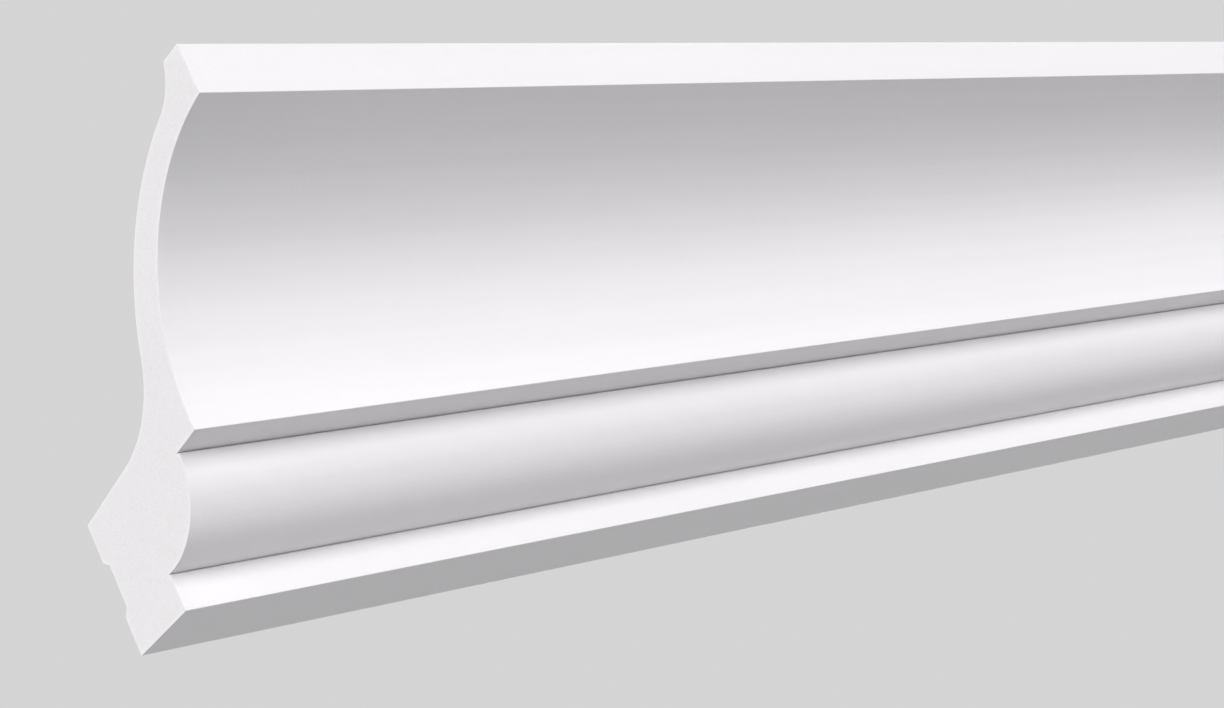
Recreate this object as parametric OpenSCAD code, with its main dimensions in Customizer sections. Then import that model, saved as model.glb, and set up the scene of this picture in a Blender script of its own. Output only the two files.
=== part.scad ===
// Crown moulding length: one moulded piece that fills the corner between a wall and a ceiling.
// Millimetres. X runs along the length, the wall is the plane Y = 0 with the room on its -Y side,
// and +Z is up. The origin is at mid-length on the bottom edge of the face that meets the wall.

/* [Overall] */
// Length, cut square at both ends
length = 1000; // [300:10:2440]
// Height down the wall
height = 140; // [110:1:190]
// Projection along the ceiling
projection = 140; // [115:1:190]

/* [Top fillet] */
// Height of the flat band under the ceiling
fillet_h = 18.5; // [13:0.5:26]
// Depth of the flat land that meets the ceiling
ceiling_land = 9.2; // [5:0.1:16]

/* [Cove] */
// Radius of the hollow
cove_r = 75.5; // [60:0.5:100]
// Distance of the cove's lower edge from the wall
lip_out = 72.2; // [58:0.1:88]
// Height of the cove's lower edge above the bottom
lip_z = 42.5; // [35:0.5:54]
// Depth of the step under the cove
step_in = 11.8; // [6:0.1:18]
// Drop of the step across that depth
step_drop = 1; // [0:0.1:4]

/* [Bead and foot] */
// Radius of the quarter-round bead
bead_r = 28; // [20:0.5:34]
// Depth of the bottom face, from the wall to the foot's flat band
foot_d = 31.4; // [25:0.1:40]

/* [Wall face] */
// Height of the face that meets the wall
wall_h = 48.5; // [40:0.5:60]
// Height of the glue channel's lower edge
channel_z = 14.2; // [10:0.1:18]
// Width of the glue channel
channel_w = 20; // [14:0.5:25]
// Depth of the glue channel
channel_d = 2.9; // [1:0.1:5]
// Rise of the channel's sloping sides
channel_slope = 2.2; // [0.5:0.1:4]

/* [Back] */
// Thickness of the web over the top of the cove
web_top = 10.7; // [8:0.1:15]
// Thickness of the web beside the cove
web_side = 17.3; // [13:0.1:22]
// Radius of the hollow between the web and the wall foot
heel_r = 38.5; // [28:0.5:48]
// Slope of the wall foot's top, in degrees
heel_slope = 7; // [3:0.5:14]
// Radius of the hollow behind the top fillet
neck_r = 20; // [14:0.5:26]

/* [Hidden] */
$fn = 192;
cove_top_z = height - fillet_h;
quirk_y = step_in - lip_out;
quirk_z = lip_z - step_drop;

// cove circle, through the band's lower edge and the cove's lower edge
half_y = (projection - lip_out) / 2;
half_z = (cove_top_z - lip_z) / 2;
half_chord = sqrt(half_y * half_y + half_z * half_z);
cove_rise = sqrt(cove_r * cove_r - half_chord * half_chord);
cove_y = -(projection + lip_out) / 2 - cove_rise * half_z / half_chord;
cove_z = (cove_top_z + lip_z) / 2 - cove_rise * half_y / half_chord;

// rounded back: a larger circle, dropped below the cove's so the web thickens downwards
back_r = cove_r + web_side;
back_y = cove_y;
back_z = cove_z - (web_side - web_top);

// hollow behind the band: through the land's rear edge and touching the rounded back
land_y = ceiling_land - projection;
land_far = sqrt(pow(land_y - back_y, 2) + pow(height - back_z, 2));
neck_far = back_r + neck_r;
neck_cos = (land_far * land_far + neck_far * neck_far - neck_r * neck_r) / (2 * land_far * neck_far);
neck_turn = atan2(height - back_z, land_y - back_y) - acos(neck_cos);
neck_y = back_y + neck_far * cos(neck_turn);
neck_z = back_z + neck_far * sin(neck_turn);

// hollow above the wall foot: touches the rounded back and the foot's sloping top
heel_up = cos(heel_slope) * wall_h + heel_r - sin(heel_slope) * back_y - cos(heel_slope) * back_z;
heel_along = sqrt(pow(back_r + heel_r, 2) - heel_up * heel_up);
heel_y = back_y + heel_up * sin(heel_slope) + heel_along * cos(heel_slope);
heel_z = back_z + heel_up * cos(heel_slope) - heel_along * sin(heel_slope);
heel_touch = back_r / (back_r + heel_r);

// outline with the room side's straight lines, before the curves are cut and added
module blank_outline() {
    polygon([
        [0, 0],
        [0, channel_z],
        [-channel_d, channel_z + channel_slope],
        [-channel_d, channel_z + channel_w - channel_slope],
        [0, channel_z + channel_w],
        [0, height],
        [-projection, height],
        [-projection, cove_top_z],
        [-lip_out, lip_z],
        [quirk_y, quirk_z],
        [-foot_d, quirk_z],
        [-foot_d, 0]
    ]);
}

// open corner behind the moulding, which the hidden back faces
module open_corner() {
    difference() {
        union() {
            polygon([
                [10, height + 10],
                [land_y, height + 10],
                [land_y, height],
                [back_y + back_r * cos(neck_turn), back_z + back_r * sin(neck_turn)],
                [back_y + (heel_y - back_y) * heel_touch, back_z + (heel_z - back_z) * heel_touch],
                [heel_y - heel_r * sin(heel_slope), heel_z - heel_r * cos(heel_slope)],
                [0, wall_h],
                [10, wall_h]
            ]);
            translate([neck_y, neck_z]) circle(r = neck_r);
            translate([heel_y, heel_z]) circle(r = heel_r);
        }
        translate([back_y, back_z]) circle(r = back_r);
    }
}

// quarter-round bead, from the quirk down to the foot's flat band
module quarter_bead() {
    bead_y = quirk_y + bead_r;
    inner_y = min(bead_y, -foot_d);
    intersection() {
        translate([bead_y, quirk_z]) circle(r = bead_r);
        translate([quirk_y, quirk_z - bead_r]) square([bead_r, bead_r]);
    }
    translate([inner_y, quirk_z - bead_r]) square([-foot_d / 2 - inner_y, bead_r]);
}

// section of the moulding, in Y and Z
module section() {
    difference() {
        union() {
            blank_outline();
            quarter_bead();
        }
        translate([cove_y, cove_z]) circle(r = cove_r);
        open_corner();
    }
}

module crown_moulding() {
    color([0.95, 0.95, 0.94])
        rotate([90, 0, 90])
            translate([0, 0, -length / 2])
                linear_extrude(height = length) section();
}

crown_moulding();
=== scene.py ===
"""Crown moulding length: a foam cornice, primed white on the room side and sawn square at both ends.

Metres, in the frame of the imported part: X runs along the length, the wall is the plane Y = 0 with the room on
its -Y side, +Z points to the ceiling, and the origin is on the wall face's bottom edge at mid-length.
"""

import logging
import math
from dataclasses import dataclass
from enum import Enum
from typing import Any, Protocol

import bpy
import numpy as np
from mathutils import Matrix, Vector


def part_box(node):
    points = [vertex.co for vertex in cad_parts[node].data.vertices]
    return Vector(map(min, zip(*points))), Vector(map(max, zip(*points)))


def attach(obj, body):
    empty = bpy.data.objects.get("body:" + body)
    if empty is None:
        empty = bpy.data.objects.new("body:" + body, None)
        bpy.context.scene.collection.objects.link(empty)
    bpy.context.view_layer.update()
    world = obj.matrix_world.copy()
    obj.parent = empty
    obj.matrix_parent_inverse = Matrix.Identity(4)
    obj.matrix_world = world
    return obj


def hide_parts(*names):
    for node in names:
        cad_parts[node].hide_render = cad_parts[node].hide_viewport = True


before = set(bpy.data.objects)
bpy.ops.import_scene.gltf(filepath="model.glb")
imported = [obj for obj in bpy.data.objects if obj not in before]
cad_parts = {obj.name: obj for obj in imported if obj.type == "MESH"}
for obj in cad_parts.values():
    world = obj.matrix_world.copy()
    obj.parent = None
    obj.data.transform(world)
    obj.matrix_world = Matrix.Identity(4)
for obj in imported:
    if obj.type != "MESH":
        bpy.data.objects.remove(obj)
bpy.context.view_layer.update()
LOG = logging.getLogger("crown_moulding")
MM = 0.001
NODE = "crown_moulding"
PIECE = "moulded_length"
Colour = tuple[float, float, float, float]


class Side(Enum):
    """Which finish a face of the moulding has: its number is the face's material index."""

    ROOM = 0
    BACK = 1
    END = 2


# ----------------------------------------------------------------------------------------------------------
# Outline of the moulding
# ----------------------------------------------------------------------------------------------------------


def arc_points(centre: np.ndarray, start: np.ndarray, end: np.ndarray, count: int) -> np.ndarray:
    """Points on the shorter arc about a centre, from one point to another: centre + r (cos t, sin t), t even.

    Args:
        centre: Centre of the arc, (y, z).
        start: First point of the arc.
        end: Last point of the arc.
        count: How many points, both ends included.

    Returns:
        An array of shape (count, 2).
    """
    radius = float(np.linalg.norm(start - centre))
    first = math.atan2(start[1] - centre[1], start[0] - centre[0])
    turn = math.atan2(end[1] - centre[1], end[0] - centre[0]) - first
    turn = (turn + math.pi) % (2 * math.pi) - math.pi
    angle = first + np.linspace(0.0, turn, count)
    return centre + radius * np.stack([np.cos(angle), np.sin(angle)], axis=1)


def eased(
    points: np.ndarray,
    radius: float,
    hold: float,
    steps: int = 5,
    least_turn: float = math.radians(14),
    share: float = 0.49,
) -> np.ndarray:
    """Rounds every sharp corner of an open chain, leaving its two ends and its arcs as they are.

    A corner c between unit directions a (in) and b (out) becomes the quadratic curve
    (1-t)^2 (c - r a) + 2 t (1-t) c + t^2 (c + r b), with one more point a little outside each end of it, so
    that smooth shading bends only in the rounding.

    Args:
        points: The chain, (n, 2).
        radius: How far the rounding reaches along each side.
        hold: How far outside the rounding the extra points lie.
        steps: Points on each rounding.
        least_turn: The chain turns more than this only at a corner.
        share: The most of a side that one corner may take, under a half.

    Returns:
        The chain with its corners rounded.
    """
    before, after = points[1:-1] - points[:-2], points[2:] - points[1:-1]
    before_len = np.linalg.norm(before, axis=1)
    after_len = np.linalg.norm(after, axis=1)
    a, b = before / before_len[:, None], after / after_len[:, None]
    corner = np.flatnonzero((a * b).sum(1) < math.cos(least_turn))
    room = np.minimum(before_len, after_len)[corner] * share
    reach = np.minimum(radius, room * radius / (radius + hold))
    a, b, c = a[corner], b[corner], points[1:-1][corner]
    t = np.linspace(0.0, 1.0, steps)[None, :, None]
    low, high = (c - reach[:, None] * a)[:, None], (c + reach[:, None] * b)[:, None]
    curve = (1 - t) ** 2 * low + 2 * t * (1 - t) * c[:, None] + t ** 2 * high
    outside = (reach * (1 + hold / radius))[:, None]
    ring = np.concatenate([(c - outside * a)[:, None], curve, (c + outside * b)[:, None]], axis=1)
    place = np.linspace(-share, share, steps + 2)[None, :] + corner[:, None] + 1
    kept = np.setdiff1d(np.arange(len(points)), corner + 1)
    order = np.argsort(np.concatenate([kept, place.ravel()]), kind="stable")
    return np.concatenate([points[kept], ring.reshape(-1, 2)])[order]


@dataclass(frozen=True)
class MouldingOutline:
    """Sizes of the section, in metres, as in the part's source, and how finely its arcs are drawn.

    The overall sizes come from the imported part. The quirk, the nick and the eased arrises are finer relief,
    which the part's plain section leaves out.
    """

    height: float
    projection: float
    fillet_h: float = 18.5 * MM
    ceiling_land: float = 9.2 * MM
    cove_r: float = 75.5 * MM
    lip_out: float = 72.2 * MM
    lip_z: float = 42.5 * MM
    step_in: float = 11.8 * MM
    step_drop: float = 1.0 * MM
    bead_r: float = 28.0 * MM
    foot_d: float = 31.4 * MM
    wall_h: float = 48.5 * MM
    channel_z: float = 14.2 * MM
    channel_w: float = 20.0 * MM
    channel_d: float = 2.9 * MM
    channel_slope: float = 2.2 * MM
    web_top: float = 10.7 * MM
    web_side: float = 17.3 * MM
    heel_r: float = 38.5 * MM
    heel_slope: float = math.radians(7)
    neck_r: float = 20.0 * MM
    quirk_w: float = 0.45 * MM
    quirk_d: float = 1.5 * MM
    nick_w: float = 0.35 * MM
    nick_d: float = 0.9 * MM
    arris_r: float = 0.3 * MM
    arris_hold: float = 0.25 * MM
    cove_points: int = 46
    bead_points: int = 32
    neck_points: int = 14
    back_points: int = 34
    heel_points: int = 20

    def cove_centre(self) -> np.ndarray:
        """Centre of the cove: on the chord's bisector, so that the circle passes through both of its edges.

        Returns:
            The centre, (y, z).
        """
        top = np.array([-self.projection, self.height - self.fillet_h])
        lip = np.array([-self.lip_out, self.lip_z])
        half = (lip - top) / 2
        length = np.linalg.norm(half)
        rise = math.sqrt(self.cove_r ** 2 - length ** 2)
        return (top + lip) / 2 + rise * np.array([half[1], -half[0]]) / length

    def room_chain(self) -> np.ndarray:
        """The side that faces the room: down the band, cove, step, bead and foot, and along the bottom.

        A fine quirk runs in between the step and the bead, and a finer nick between the bead's flat underside
        and the foot's band.

        Returns:
            Points (n, 2) from the front top edge to the wall face's bottom edge.
        """
        band_low = np.array([-self.projection, self.height - self.fillet_h])
        lip = np.array([-self.lip_out, self.lip_z])
        quirk = np.array([self.step_in - self.lip_out, self.lip_z - self.step_drop])
        bead_centre = quirk + np.array([self.bead_r, 0.0])
        bead_low = bead_centre - np.array([0.0, self.bead_r])
        turn = math.asin(self.quirk_w / self.bead_r)
        bead_top = bead_centre - self.bead_r * np.array([math.cos(turn), math.sin(turn)])
        return np.concatenate([
            [[-self.projection, self.height]],
            arc_points(self.cove_centre(), band_low, lip, self.cove_points),
            [quirk + np.array([self.quirk_d, 0.0])],
            arc_points(bead_centre, bead_top, bead_low, self.bead_points),
            [[self.nick_d - self.foot_d, bead_low[1]], [-self.foot_d, bead_low[1] - self.nick_w]],
            [[-self.foot_d, 0.0], [0.0, 0.0]],
        ])

    def back_chain(self) -> np.ndarray:
        """The side that faces the corner of wall and ceiling: over the land, the hollow behind the band, the
        rounded back, the hollow above the foot and the foot's top, and down the wall face.

        The two hollows are circles that touch the rounded back from outside: one passes through the land's
        rear edge, the other touches the foot's sloping top.

        Returns:
            Points (n, 2) from the front top edge to the wall face's bottom edge.
        """
        back = self.cove_centre() - np.array([0.0, self.web_side - self.web_top])
        back_r = self.cove_r + self.web_side
        land = np.array([self.ceiling_land - self.projection, self.height])
        reach = land - back
        far, out = float(np.linalg.norm(reach)), back_r + self.neck_r
        swing = math.acos((far ** 2 + out ** 2 - self.neck_r ** 2) / (2 * far * out))
        turn = math.atan2(reach[1], reach[0]) - swing
        toward_neck = np.array([math.cos(turn), math.sin(turn)])
        normal = np.array([math.sin(self.heel_slope), math.cos(self.heel_slope)])
        along = np.array([normal[1], -normal[0]])
        up = normal[1] * self.wall_h + self.heel_r - float(normal @ back)
        heel = back + up * normal + math.sqrt((back_r + self.heel_r) ** 2 - up ** 2) * along
        touch = back + (heel - back) * back_r / (back_r + self.heel_r)
        channel_top = self.channel_z + self.channel_w
        neck_touch = back + toward_neck * back_r
        return np.concatenate([
            [[-self.projection, self.height]],
            arc_points(back + toward_neck * out, land, neck_touch, self.neck_points),
            arc_points(back, neck_touch, touch, self.back_points)[1:],
            arc_points(heel, touch, heel - self.heel_r * normal, self.heel_points)[1:],
            [[0.0, self.wall_h], [0.0, channel_top]],
            [[-self.channel_d, channel_top - self.channel_slope]],
            [[-self.channel_d, self.channel_z + self.channel_slope]],
            [[0.0, self.channel_z], [0.0, 0.0]],
        ])

    def landmarks(self) -> tuple[np.ndarray, np.ndarray]:
        """Heights of places on the two sides that lie across the web from each other, from the ceiling down.

        Returns:
            Heights on the room side and on the back.
        """
        quirk_z = self.lip_z - self.step_drop
        channel_top = self.channel_z + self.channel_w
        across = [
            (self.height, self.height),
            (self.height - self.fillet_h, 128 * MM),
            (100 * MM, 112 * MM),
            (75 * MM, 92 * MM),
            (self.lip_z, 60 * MM),
            (quirk_z, self.wall_h - 2 * MM),
            (24 * MM, channel_top - 4 * MM),
            (quirk_z - self.bead_r, 17 * MM),
            (7 * MM, 13 * MM),
            (0.0, 0.0),
        ]
        room, back = np.array(across).T
        return room, back


def chain_lengths(chain: np.ndarray) -> np.ndarray:
    """Distance along a chain to each of its points."""
    return np.concatenate([[0.0], np.cumsum(np.linalg.norm(np.diff(chain, axis=0), axis=1))])


def matched(
    room: np.ndarray, back: np.ndarray, heights: tuple[np.ndarray, np.ndarray], finest: float = 2e-6
) -> tuple[np.ndarray, np.ndarray]:
    """Gives both chains the same number of points, paired across the section, with every point they had.

    Each chain gets a parameter that runs linearly in length between the landmarks; the union of both chains'
    parameters is then looked up on each.

    Args:
        room: The room side's chain.
        back: The back's chain.
        heights: The landmarks' heights on the two chains.
        finest: Parameters closer than this count as one.

    Returns:
        The two chains, each (m, 2).
    """
    lengths = [chain_lengths(room), chain_lengths(back)]
    marks = [
        np.array([s[0], *[s[np.abs(c[:, 1] - h).argmin()] for h in hs[1:-1]], s[-1]])
        for c, s, hs in zip((room, back), lengths, heights)
    ]
    even = np.linspace(0.0, 1.0, len(marks[0]))
    own = [np.interp(s, m, even) for s, m in zip(lengths, marks)]
    every = np.unique(np.round(np.concatenate(own), 7))
    every = every[np.concatenate([[True], np.diff(every) > finest])]
    out = []
    for chain, values in zip((room, back), own):
        out.append(np.stack([np.interp(every, values, chain[:, k]) for k in (0, 1)], axis=1))
    return out[0], out[1]


# ----------------------------------------------------------------------------------------------------------
# Materials
# ----------------------------------------------------------------------------------------------------------


class Finish(Protocol):
    """Anything that can build a material."""

    def build(self) -> bpy.types.Material:
        """Builds the material."""


class Nodes:
    """A material's node tree, with short calls for the nodes the finishes use."""

    def __init__(self, name: str) -> None:
        """Makes the material with a Principled shader and Object coordinates.

        Args:
            name: The material's name.
        """
        self.material = bpy.data.materials.new(name)
        self.material.use_nodes = True
        self.tree = self.material.node_tree
        self.shader = self.tree.nodes["Principled BSDF"]
        self.place = self.tree.nodes.new("ShaderNodeTexCoord").outputs["Object"]

    def add(self, kind: str, inputs: dict[Any, Any], **settings: Any) -> Any:
        """Adds a node.

        Args:
            kind: The node's type, without "ShaderNode".
            inputs: Socket name or number to a value, or to a socket to link from.
            settings: Properties of the node.

        Returns:
            The node.
        """
        node = self.tree.nodes.new("ShaderNode" + kind)
        for key, value in settings.items():
            setattr(node, key, value)
        for key, value in inputs.items():
            if isinstance(value, bpy.types.NodeSocket):
                self.tree.links.new(value, node.inputs[key])
            else:
                node.inputs[key].default_value = value
        return node

    def noise(self, grains: float, along: float = 1.0, detail: float = 2.0) -> Any:
        """Noise on Object coordinates.

        Args:
            grains: Grains in a metre.
            along: Factor on the coordinate along the length; below 1 draws the grains out.
            detail: Octaves of finer noise.

        Returns:
            The factor socket.
        """
        place = self.add("Mapping", {"Vector": self.place, "Scale": (along, 1.0, 1.0)}).outputs["Vector"]
        node = self.add("TexNoise", {"Vector": place, "Scale": grains, "Detail": detail, "Roughness": 0.5})
        return node.outputs[0]

    def maths(self, operation: str, first: Any, second: Any) -> Any:
        """Adds, subtracts or multiplies two values or sockets."""
        return self.add("Math", {0: first, 1: second}, operation=operation).outputs[0]

    def spread(self, value: Any, low: float, high: float, to_low: float, to_high: float) -> Any:
        """Maps a range of a value to another, clamped at both ends."""
        return self.add("MapRange", {0: value, 1: low, 2: high, 3: to_low, 4: to_high}).outputs[0]

    def blend(self, factor: Any, first: Any, second: Any) -> Any:
        """Mixes two colours or colour sockets by a factor socket."""
        return self.add("Mix", {0: factor, 6: first, 7: second}, data_type="RGBA").outputs[2]

    def bump(self, height: Any, distance: float, strength: float, under: Any = None) -> Any:
        """Bump from a height socket, on top of another bump where one is given.

        Args:
            height: The height socket, 0 to 1.
            distance: How far a height of 1 stands out, in metres.
            strength: Share of the bump that shows.
            under: The normal of another bump.

        Returns:
            The normal socket.
        """
        inputs = {"Height": height, "Distance": distance, "Strength": strength}
        if under is not None:
            inputs["Normal"] = under
        return self.add("Bump", inputs).outputs["Normal"]

    def link(self, name: str, value: Any) -> None:
        """Sets or links a socket of the shader.

        Args:
            name: The socket's name.
            value: A value, or a socket to link from.
        """
        if isinstance(value, bpy.types.NodeSocket):
            self.tree.links.new(value, self.shader.inputs[name])
        else:
            self.shader.inputs[name].default_value = value


@dataclass(frozen=True)
class WhitePrimer:
    """Factory primer on the room side: satin white, sprayed, with a fine orange peel and faint streaks."""

    colour: Colour = (0.800, 0.784, 0.802, 1.0)
    shade: Colour = (0.784, 0.769, 0.786, 1.0)
    roughness: float = 0.46
    specular: float = 0.35
    cloud_grains: float = 14.0
    streak_grains: float = 160.0
    swell_grains: float = 48.0
    swell_depth: float = 0.5 * MM
    peel_grains: float = 620.0
    peel_depth: float = 0.11 * MM

    def build(self) -> bpy.types.Material:
        """Builds the primer.

        Returns:
            The material.
        """
        n = Nodes("white_primer")
        cloud = n.noise(self.cloud_grains, along=0.35, detail=3.0)
        streak = n.noise(self.streak_grains, along=0.02)
        tone = n.spread(n.maths("ADD", cloud, streak), 0.8, 1.2, 0.0, 1.0)
        n.link("Base Color", n.blend(tone, self.shade, self.colour))
        peel = n.noise(self.peel_grains)
        n.link("Roughness", n.spread(peel, 0.3, 0.7, self.roughness - 0.04, self.roughness + 0.06))
        swell = n.bump(n.noise(self.swell_grains, along=0.25), self.swell_depth, 0.35)
        n.link("Normal", n.bump(peel, self.peel_depth, 0.6, swell))
        n.link("Specular IOR Level", self.specular)
        return n.material


@dataclass(frozen=True)
class MouldSkin:
    """Bare foam skin on the hidden back: matt, a little creamier, with faint flow marks and bubble pits; the
    pits are darkened with painted shade.
    """

    colour: Colour = (0.86, 0.845, 0.815, 1.0)
    shade: Colour = (0.79, 0.772, 0.735, 1.0)
    # Painted shade: the dark brownish colour that the bubble pits are darkened towards.
    pit_shade_colour: Colour = (0.55, 0.53, 0.49, 1.0)
    specular: float = 0.3
    cloud_grains: float = 9.0
    flow_grains: float = 26.0
    flow_depth: float = 1.2 * MM
    ripple_grains: float = 150.0
    ripple_depth: float = 0.35 * MM
    fine_grains: float = 700.0
    fine_depth: float = 0.14 * MM
    pit_grains: float = 75.0
    pit_depth: float = 0.5 * MM
    without_pit: float = 0.93

    def build(self) -> bpy.types.Material:
        """Builds the skin.

        Returns:
            The material.
        """
        n = Nodes("mould_skin")
        cloud = n.noise(self.cloud_grains, along=0.5)
        flow = n.noise(self.flow_grains, along=0.22, detail=5.0)
        tone = n.spread(n.maths("ADD", cloud, flow), 0.84, 1.16, 0.0, 1.0)
        cells = n.add("TexVoronoi", {"Vector": n.place, "Scale": self.pit_grains}, feature="F1")
        pit = n.spread(cells.outputs["Distance"], 0.05, 0.16, 1.0, 0.0)
        chance = n.add("SeparateColor", {0: cells.outputs["Color"]}).outputs[0]
        pits = n.maths("MULTIPLY", pit, n.spread(chance, self.without_pit, self.without_pit + 0.01, 0.0, 1.0))
        base = n.blend(tone, self.shade, self.colour)
        # Painted shade: the bubble pits are darkened up to 0.55 of the way towards the dark pit colour.
        n.link("Base Color", n.blend(n.spread(pits, 0.0, 1.0, 0.0, 0.55), base, self.pit_shade_colour))
        n.link("Roughness", n.spread(flow, 0.3, 0.7, 0.5, 0.68))
        fine = n.bump(n.noise(self.fine_grains, detail=3.0), self.fine_depth, 0.6)
        ripple = n.bump(n.noise(self.ripple_grains, along=0.3, detail=3.0), self.ripple_depth, 0.5, fine)
        waves = n.bump(flow, self.flow_depth, 0.5, ripple)
        n.link("Normal", n.bump(n.maths("SUBTRACT", 1.0, pits), self.pit_depth, 0.8, waves))
        n.link("Specular IOR Level", self.specular)
        return n.material


@dataclass(frozen=True)
class SawnFoam:
    """Sawn end: fine closed cells with faint saw lines, and a paler rim where the dense skin is cut."""

    core: Colour = (0.790, 0.775, 0.790, 1.0)
    cell: Colour = (0.752, 0.738, 0.750, 1.0)
    skin: Colour = (0.812, 0.797, 0.814, 1.0)
    specular: float = 0.2
    cell_grains: float = 1500.0
    cell_depth: float = 0.12 * MM
    patch_grains: float = 60.0
    fine_grains: float = 420.0
    saw_pitch: float = 5.2 * MM
    saw_depth: float = 0.05 * MM

    def build(self) -> bpy.types.Material:
        """Builds the sawn face.

        The mesh attribute "rim" is 1 on the outline and 0 from a skin's depth inwards. The saw lines run
        diagonally, a pitch apart along Y or Z, which the wave texture gives at a scale of pi / (5 pitch).

        Returns:
            The material.
        """
        n = Nodes("sawn_foam")
        rim = n.add("Attribute", {}, attribute_name="rim").outputs["Fac"]
        cell_texture = n.add("TexVoronoi", {"Vector": n.place, "Scale": self.cell_grains}, feature="F1")
        cells = cell_texture.outputs["Distance"]
        tone = n.maths("ADD", n.noise(self.patch_grains, detail=3.0), n.noise(self.fine_grains))
        open_cell = n.spread(n.maths("MULTIPLY", cells, tone), 0.25, 0.85, 0.0, 1.0)
        n.link("Base Color", n.blend(rim, n.blend(open_cell, self.core, self.cell), self.skin))
        n.link("Roughness", n.spread(tone, 0.7, 1.3, 0.72, 0.86))
        wave = {"Vector": n.place, "Scale": math.pi / (5 * self.saw_pitch), "Distortion": 1.5, "Detail": 2.0,
                "Detail Scale": 1.0}
        lines = n.add("TexWave", wave, wave_type="BANDS", bands_direction="DIAGONAL").outputs["Fac"]
        n.link("Normal", n.bump(cells, self.cell_depth, 0.45, n.bump(lines, self.saw_depth, 0.3)))
        n.link("Specular IOR Level", self.specular)
        return n.material


@dataclass(frozen=True)
class StudioPaint:
    """Plain pale paint of the floor, with a very slight unevenness."""

    colour: Colour = (0.70, 0.70, 0.70, 1.0)
    darkest: float = 0.97
    cloud_grains: float = 1.5

    def build(self) -> bpy.types.Material:
        """Builds the paint.

        Returns:
            The material.
        """
        n = Nodes("studio_paint")
        darker = tuple(self.darkest * c for c in self.colour[:3]) + (1.0,)
        tone = n.spread(n.noise(self.cloud_grains, detail=4.0), 0.3, 0.7, 0.0, 1.0)
        n.link("Base Color", n.blend(tone, darker, self.colour))
        n.link("Roughness", 1.0)
        n.link("Specular IOR Level", 0.0)
        return n.material


# ----------------------------------------------------------------------------------------------------------
# The moulding
# ----------------------------------------------------------------------------------------------------------


def slow_wave(x: np.ndarray, long_turns: float, start: float, short_turns: float) -> np.ndarray:
    """A slow wave along the length: sin(long_turns x + start) + sin(short_turns x)."""
    return np.sin(long_turns * x + start) + np.sin(short_turns * x)


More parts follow.
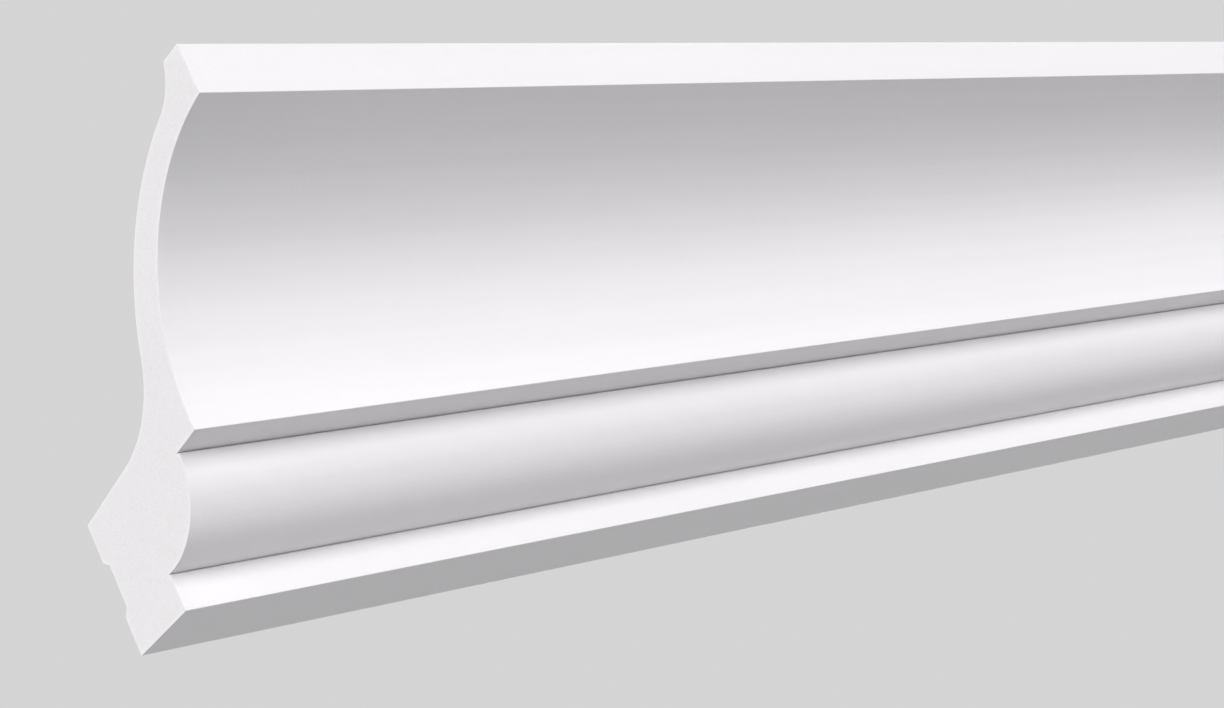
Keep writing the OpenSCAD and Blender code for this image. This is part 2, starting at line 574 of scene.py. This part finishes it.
@dataclass
class MouldedLength:
    """The whole moulded piece: its section carried along the length, and a sawn face at each end.

    The finishes are in the order of Side.
    """

    outline: MouldingOutline
    low_x: float
    high_x: float
    stations: int = 61
    end_columns: int = 9
    crowding: float = 0.13
    skin_depth: float = 1.4 * MM
    unevenness: float = 0.06 * MM
    true_margin: float = 2 * MM
    sway: tuple[float, float, float] = (9.1, 0.7, 23.0)
    heave: tuple[float, float, float] = (7.3, 2.1, 19.0)
    finishes: tuple[Finish, ...] = (WhitePrimer(), MouldSkin(), SawnFoam())

    def chains(self) -> tuple[np.ndarray, np.ndarray]:
        """The two sides of the section, eased at their arrises and paired.

        The closed outline is eased as one chain that starts and ends half-way down the bottom face, so the
        edges where the two sides meet are rounded too; it is then parted at those edges' middles.

        Returns:
            The room side and the back, each (m, 2), from the top front edge to the wall face's bottom edge.
        """
        o = self.outline
        room, back = o.room_chain(), o.back_chain()
        half_way = (room[-2:-1] + room[-1:]) / 2
        loop = eased(np.concatenate([half_way, back[::-1], room[1:-1], half_way]), o.arris_r, o.arris_hold)
        top = int(np.abs(loop - room[0]).sum(1).argmin())
        toe = int(np.abs(loop - room[-1]).sum(1).argmin())
        back_side = loop[toe:top + 1][::-1]
        room_side = np.concatenate([loop[top:], loop[1:toe + 1]])
        return matched(room_side, back_side, o.landmarks())

    def sweep(self, loop: np.ndarray) -> np.ndarray:
        """Carries the closed outline along X: point (x, y + u(x), z + w(x)).

        The slow waves u and w are a few hundredths of a millimetre high, as a moulded length has, and they
        leave the overall extremes and the faces that meet the wall, the ceiling and the bottom true.

        Args:
            loop: The closed outline, (m, 2).

        Returns:
            Points (stations, m, 3).
        """
        x = np.linspace(self.low_x, self.high_x, self.stations)
        grid = np.empty((len(x), len(loop), 3))
        grid[..., 0] = x[:, None]
        grid[..., 1:] = loop[None]
        size = np.array([self.outline.projection, self.outline.height])
        inner = (np.abs(loop) > self.true_margin) & (np.abs(loop) < size - self.true_margin)
        wave = np.stack([slow_wave(x, *self.sway), slow_wave(x, *self.heave)], axis=1)
        grid[..., 1:] += self.unevenness * 0.5 * wave[:, None, :] * inner[None]
        return grid

    def end_grid(self, room: np.ndarray, back: np.ndarray) -> np.ndarray:
        """Straight rows across the section, point = (1 - v) room + v back, with v crowded towards both sides.

        Args:
            room: The room side, (m, 3).
            back: The back, (m, 3).

        Returns:
            The inner points, (m - 2, columns, 3): the first and last rows have no width.
        """
        across = np.linspace(0.0, 1.0, self.end_columns + 2)[1:-1]
        v = (across - self.crowding * np.sin(2 * math.pi * across))[None, :, None]
        return (1 - v) * room[1:-1, None] + v * back[1:-1, None]

    def rim(self, points: np.ndarray, loop: np.ndarray) -> np.ndarray:
        """How much each point lies in the skin: 1 - distance to the outline / skin depth, no less than 0.

        Args:
            points: Points (n, 2) of the section.
            loop: The closed outline, (m, 2).

        Returns:
            A factor for each point.
        """
        start = loop[None]
        run = (np.roll(loop, -1, axis=0) - loop)[None]
        at = ((points[:, None] - start) * run).sum(2) / np.maximum((run ** 2).sum(2), 1e-18)
        near = start + np.clip(at, 0.0, 1.0)[..., None] * run
        return np.clip(1 - np.linalg.norm(points[:, None] - near, axis=2).min(1) / self.skin_depth, 0.0, 1.0)

    def end_faces(
        self, room: np.ndarray, back: np.ndarray, inner: np.ndarray, flip: bool
    ) -> list[np.ndarray]:
        """Faces of one end: quads between the rows, and a triangle in each gap at the rows without width.

        Args:
            room: Indices of the room side's points, (m,).
            back: Indices of the back's points, (m,); its ends are the room side's.
            inner: Indices of the inner points, (m - 2, columns).
            flip: Turns the faces round, as the end at the low X needs.

        Returns:
            Faces as arrays of indices, quads first, then triangles.
        """
        rows = np.concatenate([room[1:-1, None], inner, back[1:-1, None]], axis=1)
        quads = np.stack([rows[:-1, :-1], rows[1:, :-1], rows[1:, 1:], rows[:-1, 1:]], axis=2).reshape(-1, 4)
        first, last = rows[0], rows[-1]
        fan_top = np.stack([np.full(len(first) - 1, room[0]), first[:-1], first[1:]], axis=1)
        fan_low = np.stack([np.full(len(last) - 1, room[-1]), last[1:], last[:-1]], axis=1)
        triangles = np.concatenate([fan_top, fan_low])
        return [quads[:, ::-1], triangles[:, ::-1]] if flip else [quads, triangles]

    def build(self) -> bpy.types.Object:
        """Builds the mesh, dresses it and puts it on the frame in place of its plain solid.

        Returns:
            The finished object.
        """
        room, back = self.chains()
        loop = np.concatenate([room, back[-2:0:-1]])
        m, around = len(room), len(loop)
        grid = self.sweep(loop)
        points = [grid.reshape(-1, 3)]
        ring = np.arange(self.stations * around).reshape(self.stations, around)
        ahead = np.roll(ring, -1, axis=1)
        skin = np.stack([ring[:-1], ahead[:-1], ahead[1:], ring[1:]], axis=2).reshape(-1, 4)
        side = np.where(np.arange(around) < m - 1, Side.ROOM.value, Side.BACK.value)
        faces, finish = [skin], [np.tile(side, self.stations - 1)]
        rims = [np.ones(ring.size)]
        back_order = np.concatenate([[0], np.arange(around - 1, m - 1, -1), [m - 1]])
        count = ring.size
        for station, flip in ((0, True), (self.stations - 1, False)):
            edge = grid[station]
            inner = self.end_grid(edge[:m], edge[back_order])
            index = count + np.arange(inner.shape[0] * inner.shape[1]).reshape(inner.shape[:2])
            count += index.size
            points.append(inner.reshape(-1, 3))
            rims.append(self.rim(inner.reshape(-1, 3)[:, 1:], loop))
            new = self.end_faces(ring[station][:m], ring[station][back_order], index, flip)
            faces += new
            finish.append(np.full(sum(len(f) for f in new), Side.END.value))
        arrises = np.concatenate([ring[0], ring[-1]])
        obj = self.to_object(
            np.concatenate(points), faces, np.concatenate(finish), np.concatenate(rims), arrises
        )
        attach(obj, "root")
        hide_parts(NODE)
        LOG.info("%s: %d points, %d faces, %d round", PIECE, count, len(obj.data.polygons), around)
        return obj

    def to_object(
        self,
        points: np.ndarray,
        faces: list[np.ndarray],
        finish: np.ndarray,
        rim: np.ndarray,
        arrises: np.ndarray,
    ) -> bpy.types.Object:
        """Puts the arrays into a mesh object with its three finishes, its sawn arrises sharp.

        Args:
            points: All points, (n, 3).
            faces: Index arrays of quads or triangles.
            finish: Material index of each face.
            rim: The "rim" attribute of each point.
            arrises: Indices of the points on the two end outlines.

        Returns:
            The object.
        """
        mesh = bpy.data.meshes.new(PIECE)
        mesh.from_pydata(points.tolist(), [], [f for block in faces for f in block.tolist()])
        mesh.polygons.foreach_set("material_index", finish.astype(np.int32))
        mesh.polygons.foreach_set("use_smooth", finish != Side.END.value)
        mesh.attributes.new("rim", "FLOAT", "POINT").data.foreach_set("value", rim.astype(np.float32))
        pairs = np.empty(2 * len(mesh.edges), dtype=np.int32)
        mesh.edges.foreach_get("vertices", pairs)
        at_end = np.isin(pairs, arrises).reshape(-1, 2).all(axis=1)
        mesh.attributes.new("sharp_edge", "BOOLEAN", "EDGE").data.foreach_set("value", at_end)
        for one in self.finishes:
            mesh.materials.append(one.build())
        mesh.validate()
        mesh.update()
        obj = bpy.data.objects.new(PIECE, mesh)
        bpy.context.scene.collection.objects.link(obj)
        return obj


# ----------------------------------------------------------------------------------------------------------
# Studio
# ----------------------------------------------------------------------------------------------------------


@dataclass(frozen=True)
class SoftLight:
    """A far, wide and even light, so that the length is lit alike from end to end."""

    name: str
    toward: tuple[float, float, float]
    strength: float
    width: float = math.radians(30)

    def build(self) -> None:
        """Adds the light, shining from its direction onto the moulding."""
        light = bpy.data.lights.new(self.name, "SUN")
        light.energy, light.angle = self.strength, self.width
        lamp = bpy.data.objects.new(self.name, light)
        lamp.rotation_euler = Vector(self.toward).to_track_quat("Z", "Y").to_euler()
        bpy.context.scene.collection.objects.link(lamp)


@dataclass(frozen=True)
class Studio:
    """Pale floor, soft light from the room side, and the camera that looks up at the near end."""

    floor_z: float = -0.45
    floor_radius: float = 45.0
    floor_sides: int = 96
    ambient: float = 0.175
    backdrop: float = 0.66
    horizon: float = 0.50
    fade_height: float = 0.08
    eye_from_end: tuple[float, float, float] = (-0.4423, -0.6412, -0.2379)
    heading: float = math.radians(42.08)
    pitch: float = math.radians(18.74)
    roll: float = math.radians(26.88)
    lens: float = 72.37
    sensor: float = 36.0
    sight: float = 200.0
    lamps: tuple[SoftLight, ...] = (
        SoftLight("front_light", (0.0, -0.966, 0.259), 2.02),
        SoftLight("high_front_light", (0.0, -0.86, 0.51), 0.55, math.radians(9)),
        SoftLight("side_light", (-0.969, -0.136, 0.208), 2.36),
        SoftLight("back_light", (0.8, 0.65, 0.25), 1.8),
    )

    def build_floor(self) -> None:
        """Lays a round pale floor well below the moulding, which hangs from its wall mount."""
        angle = np.linspace(0.0, 2 * math.pi, self.floor_sides, endpoint=False)
        ring = np.stack([np.cos(angle), np.sin(angle), np.zeros_like(angle)], axis=1) * self.floor_radius
        ring[:, 2] = self.floor_z
        mesh = bpy.data.meshes.new("floor")
        mesh.from_pydata(ring.tolist(), [], [list(range(len(ring)))])
        mesh.materials.append(StudioPaint().build())
        floor = bpy.data.objects.new("floor", mesh)
        bpy.context.scene.collection.objects.link(floor)

    def build_world(self) -> None:
        """Gives even light from all round, and a pale backdrop where the camera sees past the floor.

        The backdrop starts at the horizon in the floor's own tone and pales within a few degrees.
        """
        world = bpy.data.worlds.new("studio")
        world.use_nodes = True
        bpy.context.scene.world = world
        nodes, links = world.node_tree.nodes, world.node_tree.links
        light = nodes["Background"]
        light.inputs["Color"].default_value = (1.0, 1.0, 1.0, 1.0)
        light.inputs["Strength"].default_value = self.ambient
        height = nodes.new("ShaderNodeSeparateXYZ")
        links.new(nodes.new("ShaderNodeTexCoord").outputs["Generated"], height.inputs[0])
        fade = nodes.new("ShaderNodeMapRange")
        for key, value in enumerate((0.0, 0.0, self.fade_height, self.horizon, self.backdrop)):
            fade.inputs[key].default_value = value
        links.new(height.outputs["Z"], fade.inputs[0])
        seen = nodes.new("ShaderNodeBackground")
        seen.inputs["Color"].default_value = (1.0, 1.0, 1.0, 1.0)
        links.new(fade.outputs[0], seen.inputs["Strength"])
        pick = nodes.new("ShaderNodeMixShader")
        links.new(nodes.new("ShaderNodeLightPath").outputs["Is Camera Ray"], pick.inputs[0])
        links.new(light.outputs[0], pick.inputs[1])
        links.new(seen.outputs[0], pick.inputs[2])
        links.new(pick.outputs[0], nodes["World Output"].inputs["Surface"])

    def build_camera(self, end_x: float) -> None:
        """Sets the camera below and in front of the near end, looking up along the length, and leaning.

        Args:
            end_x: Where the near end is.
        """
        ahead = Vector((
            math.cos(self.pitch) * math.cos(self.heading),
            math.cos(self.pitch) * math.sin(self.heading),
            math.sin(self.pitch),
        ))
        level = ahead.cross(Vector((0, 0, 1))).normalized()
        above = level.cross(ahead)
        up = math.cos(self.roll) * above + math.sin(self.roll) * level
        right = math.cos(self.roll) * level - math.sin(self.roll) * above
        data = bpy.data.cameras.new("camera")
        data.lens, data.sensor_width, data.clip_end = self.lens, self.sensor, self.sight
        camera = bpy.data.objects.new("camera", data)
        turn = Matrix((right, up, -ahead)).transposed().to_4x4()
        camera.matrix_world = Matrix.Translation(Vector((end_x, 0, 0)) + Vector(self.eye_from_end)) @ turn
        bpy.context.scene.collection.objects.link(camera)
        bpy.context.scene.camera = camera

    def build(self, low_x: float) -> None:
        """Builds the floor, world, lamps and camera.

        Args:
            low_x: Where the near end is.
        """
        self.build_floor()
        self.build_world()
        for lamp in self.lamps:
            lamp.build()
        self.build_camera(low_x)
        bpy.context.scene.view_settings.view_transform = "Standard"
        LOG.info("studio: floor at %.2f m, %d lamps", self.floor_z, len(self.lamps))


def main() -> None:
    """Builds the moulding and its studio."""
    logging.basicConfig(level=logging.INFO, format="%(name)s: %(message)s")
    low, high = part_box(NODE)
    outline = MouldingOutline(height=high.z - low.z, projection=high.y - low.y)
    MouldedLength(outline, low.x, high.x).build()
    Studio().build(low.x)


if __name__ == "__main__":
    main()
